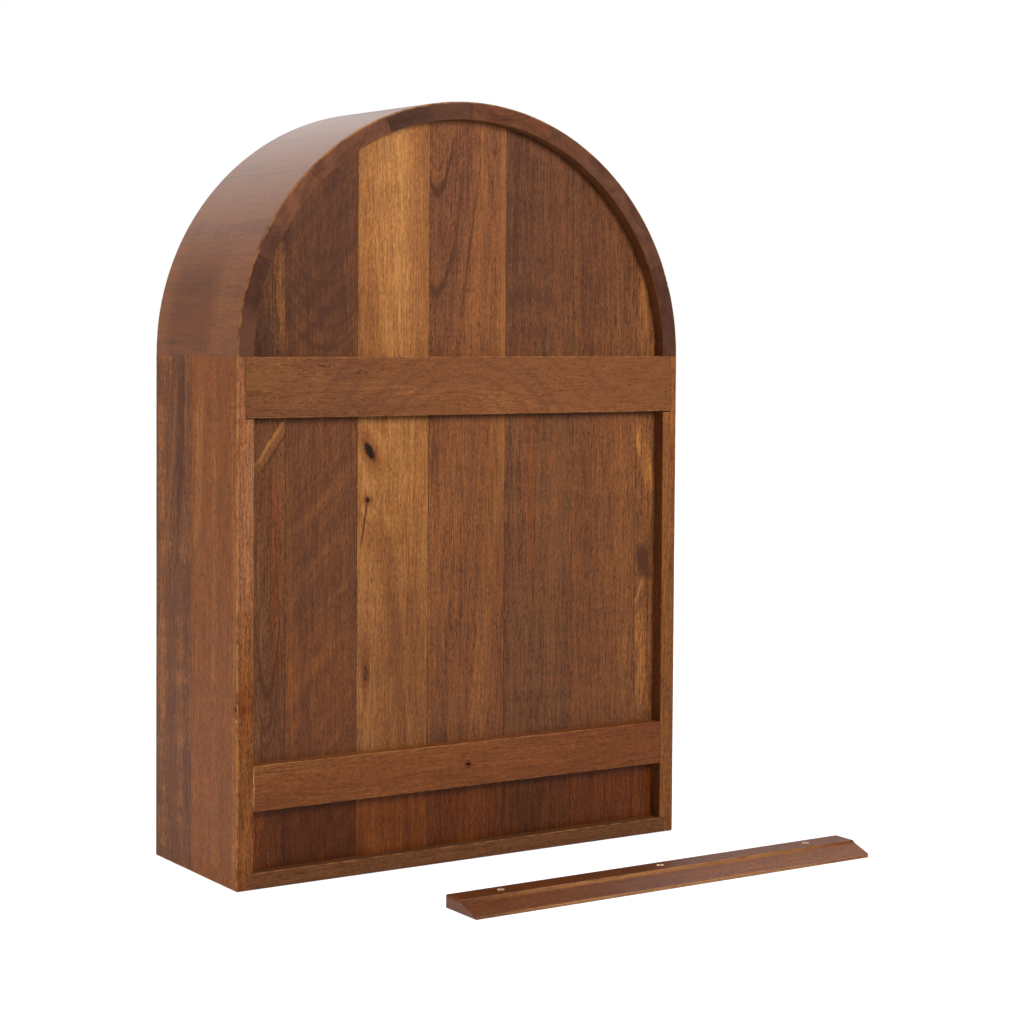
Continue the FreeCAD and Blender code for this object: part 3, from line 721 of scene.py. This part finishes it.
# %% Marks of planks 5 to 7
PLANKS |= {
    5: dict(
        tones=("chestnut", "golden", "honey"), pith=(0.04, 0.09), lean=(-0.01, 0.03), ring=0.0042, waver=0.0015,
        depths=(0.35, 0.6, 0.45, 0.1),
        knots=[(0.0265, 0.415, 0.0052, 2.0, 0.45), (0.0287, 0.367, 0.0029, 1.1, 0.0),
               (0.0299, 0.196, 0.0019, 4.4, 0.0)],
        streaks=[("garnet", 1.0, 0.0322, 0.344, -0.15, 0.0015, 0.03, 0.0008),
                 ("golden", 0.9, 0.0299, 0.196, 0.0, 0.0009, 0.006, 0.0002)],
        patches=[("chestnut", 0.6, 0.0, 0.12, 0.0, 0.09, 0.24, 0.004)],
        loops=[("mahogany", 0.45, 0.0345, 0.575, -500, 0.006, 0.07, 0.02)]),
    6: dict(
        tones=("plum", "umber", "chestnut"), pith=(-0.09, 0.05), lean=(0.05, 0.0), ring=0.005, waver=0.003,
        depths=(0.15, 0.6, 0.5, 0.45), tilt=1.07, figure_scale=1.1,
        patches=[("chocolate", 0.75, 0.0, 0.67, 0.0, 0.09, 0.22, 0.004),
                 ("russet", 0.35, 0.0, 0.16, 0.0, 0.09, 0.12, 0.004),
                 ("tawny", 0.2, 0.002, 0.312, -1.1, 0.006, 0.034, 0.004),
                 ("tawny", 0.2, -0.012, 0.272, -1.1, 0.005, 0.022, 0.004),
                 ("tawny", 0.2, 0.008, 0.360, -1.1, 0.010, 0.028, 0.004),
                 ("tawny", 0.2, 0.0, 0.215, -1.1, 0.014, 0.032, 0.005)],
        loops=[("soot", 0.45, -0.004, 0.516, 19, 0.005, 0.06, 0.006),
               ("soot", 0.4, -0.004, 0.535, 19, 0.004, 0.06, 0.006),
               ("soot", 0.4, -0.003, 0.553, 19, 0.006, 0.06, 0.006),
               ("soot", 0.35, -0.003, 0.578, 18, 0.006, 0.06, 0.006),
               ("soot", 0.3, -0.002, 0.604, 17, 0.007, 0.06, 0.006)]),
    7: dict(
        tones=("umber", "olive", "tawny"), pith=(0.02, 0.06), lean=(0.02, 0.03), ring=0.0042, waver=0.003,
        depths=(0.45, 0.9, 0.6, 0.15),
        patches=[("cocoa", 0.75, 0.004, 0.57, 0.0, 0.06, 0.12, 0.004),
                 ("golden", 0.7, -0.018, 0.56, 0.05, 0.007, 0.08, 0.004),
                 ("russet", 0.6, -0.014, 0.30, 0.0, 0.007, 0.14, 0.002)],
        streaks=[("golden", 0.55, -0.0085, 0.424, -0.69, 0.007, 0.032, 0.002),
                 ("honey", 0.6, -0.0065, 0.426, -0.69, 0.0025, 0.026, 0.0015),
                 ("ink", 0.5, -0.0155, 0.424, -0.69, 0.0018, 0.03, 0.001)],
        loops=[("ink", 0.5, -0.004, 0.183, 420, 0.014, 0.11, 0.012),
               ("ink", 0.4, -0.003, 0.149, 330, 0.008, 0.11, 0.012),
               ("ink", 0.35, -0.003, 0.133, 300, 0.006, 0.11, 0.012),
               ("ink", 0.3, -0.003, 0.168, 360, 0.004, 0.1, 0.012)]),
}
print("planks with marks:", list(PLANKS))

# %% Wood of the seven planks
PANEL_REAR, PANEL_GLUE = 0.08075, 0.0006
# Painted shade under the lower rail: rear faces of the planks darken below 0.115 m, fully below 0.08 m.
PAINTED_LOW_SHADE = (0.08, 0.115, (0.66, 0.45, 0.25, 1))
for number, look in PLANKS.items():
    node = f"back_plank_{number}"
    middle, half = middle_and_half(node)
    wood = board_wood(f"plank_{number}_wood", (middle[0], PANEL_REAR, 0.0), X, Z, seed=number * 1.37,
                      glue=(middle, half + np.array(Z), PANEL_GLUE), painted_low_shade=PAINTED_LOW_SHADE, shine=0.2, **look)
    dress(node, wood)
print("planks dressed:", len(PLANKS))

# %% [markdown]
# ## Sides, bottom and shelves
# Each side is two boards glued edge to edge with upright grain. The bottom and the shelves are two boards each, with
# grain from side to side. The pale arris line, part wear and part painted highlight, is measured on the box of the
# pair, drawn out inwards and upwards, so that the glue joint, the inner arris and the joint with the top stay without
# it.

# %% Wood of the sides
CASE_GLUE, SIDE_WEAR_AND_HIGHLIGHT = 0.0005, 0.0019
SIDE_BOARDS = {
    "right_side_front_board": dict(
        tones=("umber", "umber", "tawny"), pith=(0.05, 0.06), seed=21.3, ring=0.0045, waver=0.006,
        depths=(0.35, 0.9, 0.7, 0.3),
        streaks=[("tawny", 0.5, -0.004, 0.39, 0.14, 0.004, 0.13, 0.002),
                 ("golden", 0.45, 0.030, 0.48, 0.02, 0.003, 0.08, 0.001),
                 ("tawny", 0.4, -0.020, 0.12, 0.45, 0.004, 0.05, 0.002)],
        patches=[("chocolate", 0.7, 0.018, 0.42, 0.03, 0.012, 0.12, 0.004),
                 ("chocolate", 0.4, 0.030, 0.16, 0.0, 0.010, 0.16, 0.004),
                 ("chocolate", 0.5, -0.014, 0.13, 0.45, 0.006, 0.05, 0.003)]),
    "right_side_rear_board": dict(
        tones=("chestnut", "russet", "tawny"), pith=(-0.06, 0.05), seed=22.9, ring=0.0045, waver=0.004,
        patches=[("golden", 0.5, -0.034, 0.40, 0.05, 0.01, 0.12, 0.002),
                 # The fawn patch paints the rear arris paler: part wear, part painted highlight.
                 ("fawn", 0.8, 0.0520, 0.42, 0.0, 0.004, 0.22, 0.002)],
        streaks=[("sapwood", 1.0, 0.0503, 0.163, 0.0, 0.0016, 0.0016, 0.0002)],
        knots=[(0.0495, 0.174, 0.0022, 1.3, 0.0)],
        loops=[("umber", 0.45, -0.026, 0.328, -51, 0.009, 0.09, 0.02),
               ("umber", 0.35, -0.027, 0.296, -60, 0.006, 0.08, 0.02)]),
    "left_side_front_board": dict(tones=("umber", "chestnut", "tawny"), pith=(0.05, 0.07), seed=24.1, ring=0.0042),
    # Painted light: this board's face towards +Y, its rear edge, is painted paler tawny.
    "left_side_rear_board": dict(tones=("umber", "chestnut", "russet"), pith=(-0.04, 0.06), seed=25.7, ring=0.0042,
                                 faces=[("tawny", 0.8, Y, 0.7)]),
}
for node, look in SIDE_BOARDS.items():
    side = node.split("_")[0]
    middle, half = middle_and_half(f"{side}_side_front_board", f"{side}_side_rear_board")
    own, own_half = middle_and_half(node)
    away = np.array([-0.5 * np.sign(middle[0]), 0, 0.5])
    wood = board_wood(f"{node}_wood", (*own[:2], 0.0), Y, Z, glue=(own, own_half + np.array(Z), CASE_GLUE),
                      wear_and_highlight=(middle + away, half + np.abs(away), SIDE_WEAR_AND_HIGHLIGHT), shine=0.07,
                      **{"depths": (0.3, 0.85, 0.7, 0.15), **look})
    dress(node, wood)
print("side boards dressed:", len(SIDE_BOARDS))

# %% Wood of the bottom and the shelves
LEVEL_WEAR_AND_HIGHLIGHT, PAST_ENDS = 0.0008, np.array([0.02, 0, 0])
LEVEL_BOARDS = {
    "bottom": ("umber", "olive", "chestnut"),
    "lower_shelf": ("umber", "chestnut", "tawny"),
    "upper_shelf": ("umber", "chestnut", "russet"),
}
for count, (name, tones) in enumerate(LEVEL_BOARDS.items()):
    middle, half = middle_and_half(f"{name}_front_board", f"{name}_rear_board")
    for step, part in enumerate(("front", "rear")):
        node = f"{name}_{part}_board"
        own, own_half = middle_and_half(node)
        wood = board_wood(f"{node}_wood", (0.0, *own[1:]), Y, X, tones, seed=31.7 + 2.3 * count + step,
                          pith=(0.02 - 0.05 * step, 0.07), depths=(0.45, 0.7, 0.6, 0.15),
                          glue=(own, own_half + np.array(X), CASE_GLUE), wear_and_highlight=(middle, half + PAST_ENDS, LEVEL_WEAR_AND_HIGHLIGHT))
        dress(node, wood)
print("level boards dressed:", 2 * len(LEVEL_BOARDS))

# %% [markdown]
# ## The coopered top
# Eight staves with slanting edges are glued like those of a barrel, with the grain running from front to back, and
# planed round. Every stave is a straight board of its own, so each gets axes turned to its place on the arch, and
# the rear rim shows end grain, which takes more stain and looks darker. The finish lies thicker towards the crown.

# %% Wood of the staves and their dowels
STAVE_ENDS = {1: "damson", 2: "clay", 3: "fig", 4: "slate", 5: "plum", 6: "mauve", 7: "mauve", 8: "damson"}
END_STAINS = {
    1: [("fig", 0.9, -0.035, 0.095, 0.0, 0.04, 0.004, 0.004)],
    2: [("damson", 0.85, -0.038, 0.095, 0.0, 0.032, 0.004, 0.004)],
    4: [("fig", 0.6, 0.025, 0.095, 0.0, 0.035, 0.004, 0.004)],
    6: [("umber", 0.5, -0.02, 0.095, 0.0, 0.03, 0.004, 0.004)],
}
SMUDGES = {
    1: [("walnut", 0.7, 0.0, -0.02, 0.0, 0.07, 0.07, 0.006)],
    2: [("walnut", 0.3, -0.05, -0.02, 0.0, 0.03, 0.07, 0.006)],
}
# The width of the rim's pale line, part wear and part painted highlight, is the second number here.
MIDDLE_RADIUS, RIM_WEAR_AND_HIGHLIGHT, CROWN_COAT = 0.24525, 0.0019, (0.56, 0.76, 0.62)
for number, end_tone in STAVE_ENDS.items():
    angle = np.pi / 8 * (number - 0.5)
    outwards = np.array([np.cos(angle), 0.0, np.sin(angle)])
    middle = np.array([0.0, 0.0, SPRING]) + MIDDLE_RADIUS * outwards
    wood = board_wood(f"stave_{number}_wood", middle, (-outwards[2], 0.0, outwards[0]), Y,
                      ("umber", "chestnut", "chestnut"), seed=41.1 + number * 1.9, pith=(0.02 * (-1) ** number, 0.05),
                      ring=0.0045, waver=0.005, depths=(0.25, 0.5, 0.3, 0.25), shine=0.2, coat=CROWN_COAT,
                      streaks=END_STAINS.get(number, ()), patches=SMUDGES.get(number, ()), rim=(angle, RIM_WEAR_AND_HIGHLIGHT),
                      ends=(end_tone, 0.9))
    dress(f"arch_stave_{number}", wood)
dress("arch_dowels", board_wood("dowel_wood", (0, 0, 0.6), X, Y, ("tawny", "golden", "honey"), seed=59.0))
print("staves dressed:", len(STAVE_ENDS))

# %% [markdown]
# ## Rails and the wall cleat
# The rails lie across the planks with their grain level. The cleat is cut from the same stock; its slanted tip hooks
# behind the hanging rail. Rails and cleat show pale arris lines, part wear and part painted highlight. The cleat also
# has painted highlight lines along its ridge and nose, a painted darker top, painted shade and dark reflection towards
# its end beside the case, and raw pale wood where screws have been driven.

# %% Wood of the rails and the cleat
RAIL_WEAR_AND_HIGHLIGHT = 0.0007
RAILS = {
    "hanging_rail": dict(
        tones=("chestnut", "chestnut", "tawny"), pith=(0.03, 0.07), lean=(0.0, 0.09), ring=0.0055, waver=0.014,
        depths=(0.3, 0.6, 0.6, 0.2), seed=63.3,
        patches=[("umber", 0.5, 0.0, 0.19, 0.0, 0.08, 0.12, 0.004)],
        arcs=[("plum", 0.5, 0.01, -0.010, 6, 0.004, 0.12, 0.016),
              ("plum", 0.45, 0.012, 0.006, 7, 0.003, 0.12, 0.014),
              ("plum", 0.5, 0.008, -0.026, 5, 0.004, 0.14, 0.018),
              ("plum", 0.5, 0.006, -0.040, 5, 0.006, 0.16, 0.020),
              ("plum", 0.45, 0.004, -0.070, 4.5, 0.005, 0.2, 0.022),
              ("plum", 0.4, 0.0, -0.104, 4.2, 0.008, 0.26, 0.024)]),
    "lower_rail": dict(
        tones=("russet", "russet", "tawny"), pith=(-0.02, 0.06), ring=0.004, waver=0.003,
        depths=(0.35, 0.7, 0.6, 0.1), seed=66.1,
        patches=[("mahogany", 0.35, 0.0, -0.2, 0.0, 0.08, 0.12, 0.004)]),
    "wall_cleat": dict(
        tones=("russet", "russet", "tawny"), pith=(0.0, 0.06), ring=0.004, waver=0.003,
        depths=(0.35, 0.9, 0.8, 0.1), seed=68.7, shine=0.45,
        # Painted shade: the cleat's top face is tinted darker garnet.
        faces=[("garnet", 0.4, Z, 0.965)],
        # Painted shade and dark reflection: a garnet patch darkens the cleat towards its +X end, beside the case.
        patches=[("garnet", 0.55, 0.0, 0.16, 0.0, 0.1, 0.25, 0.004)],
        # Painted highlights: thin golden and honey lines along the ridge and along the nose.
        streaks=[("golden", 0.5, 0.0035, 0.0, 0.0, 0.0022, 0.26, 0.0006),
                 ("honey", 0.9, 0.0024, 0.0, 0.0, 0.0012, 0.26, 0.0005),
                 ("honey", 0.8, 0.0270, 0.0, 0.0, 0.0013, 0.26, 0.0004)]),
}
for node, look in RAILS.items():
    middle, half = middle_and_half(node)
    across, past = (Y, 0.0) if node == "wall_cleat" else (Z, PAST_ENDS)
    wear_and_highlight = (middle, half + past, RAIL_WEAR_AND_HIGHLIGHT)
    dress(node, board_wood(f"{node}_wood", middle, across, X, wear_and_highlight=wear_and_highlight, **{"shine": 0.2, **look}))
print("rails dressed:", len(RAILS))

# %% [markdown]
# ## Torn rims and a bead of glue
# Each screw hole in the cleat has a pale, ragged rim where the drill lifted raw fibres, and the rail's hole has a dull
# one. Paint alone would lie flat, and these specks catch the light, so they are thin rings that stand a fraction of a
# millimetre above the face. The cleat's holes also show raw wood on their walls, painted very pale as a highlight,
# since little light reaches into them. A line of dried glue stands in the joint at one end of the lower rail. Both
# shapes are worked out as whole arrays.


# %% Functions: a riding piece and wobbles
def piece_of(name, points, faces, material, body, slot):
    """A smooth mesh object from an array of points and lists of faces, riding on a body of the model."""
    mesh = bpy.data.meshes.new(name)
    mesh.from_pydata(points.reshape(-1, 3).tolist(), [], faces)
    mesh.polygons.foreach_set("use_smooth", np.ones(len(mesh.polygons), dtype=bool))
    mesh.materials.append(material)
    piece = bpy.data.objects.new(name, mesh)
    bpy.context.collection.objects.link(piece)
    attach(piece, body)
    return piece


def wobbles(angles, count, luck):
    """Sums of twelve sines of an angle with whole frequencies and chance phases: they close after a full turn."""
    waves = np.arange(2, 14)
    phases = luck.uniform(0, 2 * np.pi, (count, 1, len(waves)))
    return np.sin(angles[:, None] * waves + phases).mean(axis=-1) * 2.0


# %% Function: ragged rings
def ragged_rings(centres, axes, radius, half_width, half_height, ragged, seed, around=96, section=14):
    """Rings round the third axis. Angle a goes round a ring and angle b round its section, an ellipse whose half axes
    swell with two wobbles of a: out = radius + half_width (1 + wobble) cos b, up = half_height (1 + wobble) sin b."""
    luck = np.random.default_rng(seed)
    a, b = (np.linspace(0, 2 * np.pi, n, endpoint=False) for n in (around, section))
    wide, tall = (1 + ragged * wobbles(a, len(centres), luck)[..., None] for _ in range(2))
    out, up = radius + half_width * wide * np.cos(b), half_height * tall * np.sin(b)
    local = np.stack([out * np.cos(a)[:, None], out * np.sin(a)[:, None], up], axis=-1)
    points = np.asarray(centres)[:, None, None] + local @ np.asarray(axes, dtype=float)
    i, j, k = np.meshgrid(np.arange(len(centres)), np.arange(around), np.arange(section), indexing="ij")
    corner = lambda dj, dk: (i * around + (j + dj) % around) * section + (k + dk) % section
    return points, np.stack([corner(0, 0), corner(1, 0), corner(1, 1), corner(0, 1)], axis=-1).reshape(-1, 4).tolist()


# %% Function: a tapering bead
def tapering_bead(low, high, radius, ragged, seed, rows=80, section=12):
    """An upright bead. Its radius at share t of the length is radius times the root of sin(pi t), with a wobble, and
    its line wanders a little. Both ends close in a pole."""
    luck = np.random.default_rng(seed)
    t = np.linspace(0, 1, rows + 2)[1:-1]
    b = np.linspace(0, 2 * np.pi, section, endpoint=False)
    swell, sway = wobbles(3 * t, 2, luck)
    size = radius * np.sqrt(np.sin(np.pi * t)) * (1 + ragged * swell)
    straight = np.asarray(low) + t[:, None] * (np.asarray(high) - np.asarray(low))
    line = straight + radius * 0.5 * sway[:, None] * np.array([1.0, 0.0, 0.0])
    rings = line[:, None] + size[:, None, None] * np.stack([np.cos(b), np.sin(b), np.zeros(section)], axis=-1)
    points = np.concatenate([rings.reshape(-1, 3), [low, high]])
    j, k = np.meshgrid(np.arange(rows - 1), np.arange(section), indexing="ij")
    here, above, after = j * section, (j + 1) * section, (k + 1) % section
    walls = np.stack([here + k, here + after, above + after, above + k], axis=-1).reshape(-1, 4).tolist()
    k, after = np.arange(section), (np.arange(section) + 1) % section
    base, tip, last = rows * section, rows * section + 1, (rows - 1) * section
    ends = [np.stack([after, k, np.full(section, base)], axis=-1),
            np.stack([last + k, last + after, np.full(section, tip)], axis=-1)]
    return points, walls + np.concatenate(ends).tolist()


# %% Make the rims and the bead
# The raw wood is pale; its cream is also a painted highlight for the hole walls, which get little light.
raw_wood_and_highlight = board_wood("raw_wood_and_highlight", NOWHERE, Y, X, ("sapwood", "cream", "cream"), seed=71.9,
                      depths=(0.2, 0.8, 0.6, 0.1), shine=0.05)
dull_wood = board_wood("dull_rim_wood", NOWHERE, Z, X, ("umber", "russet", "tawny"), seed=73.1,
                       depths=(0.3, 0.8, 0.6, 0.1), shine=0.05)
dry_glue = board_wood("dry_glue", NOWHERE, X, Z, ("sapwood", "sapwood", "cream"), seed=74.7,
                      depths=(0.0, 0.5, 0.2, 0.0), shine=0.3)
cleat_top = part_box("wall_cleat")[1][2]
hole_row = np.array([(x, 0.268, cleat_top) for x in (-0.2975, -0.1155, 0.0665)])
wall_row = hole_row - np.array([0, 0, 0.0024])
rail_hole, glue_foot, glue_head = (0.0, 0.09525, 0.097), (0.2363, 0.0951, 0.0755), (0.2363, 0.0951, 0.1185)
level_axes, facing_back = np.eye(3), [X, (0, 0, -1), Y]
made = [
    piece_of("cleat_hole_rims", *ragged_rings(hole_row, level_axes, 0.0028, 0.0007, 0.00032, 0.9, 5),
             raw_wood_and_highlight, "cleat", "cleat_wood"),
    piece_of("cleat_hole_walls", *ragged_rings(wall_row, level_axes, 0.00241, 0.00004, 0.0022, 0.3, 6),
             raw_wood_and_highlight, "cleat", "cleat_wood"),
    piece_of("rail_hole_rim", *ragged_rings([rail_hole], facing_back, 0.0030, 0.0006, 0.0003, 0.8, 7),
             dull_wood, "case", "rail_wood"),
    piece_of("rail_end_glue", *tapering_bead(glue_foot, glue_head, 0.0006, 0.5, 8), dry_glue, "case", "rail_wood"),
]
print("new pieces:", {piece.name: len(piece.data.polygons) for piece in made})
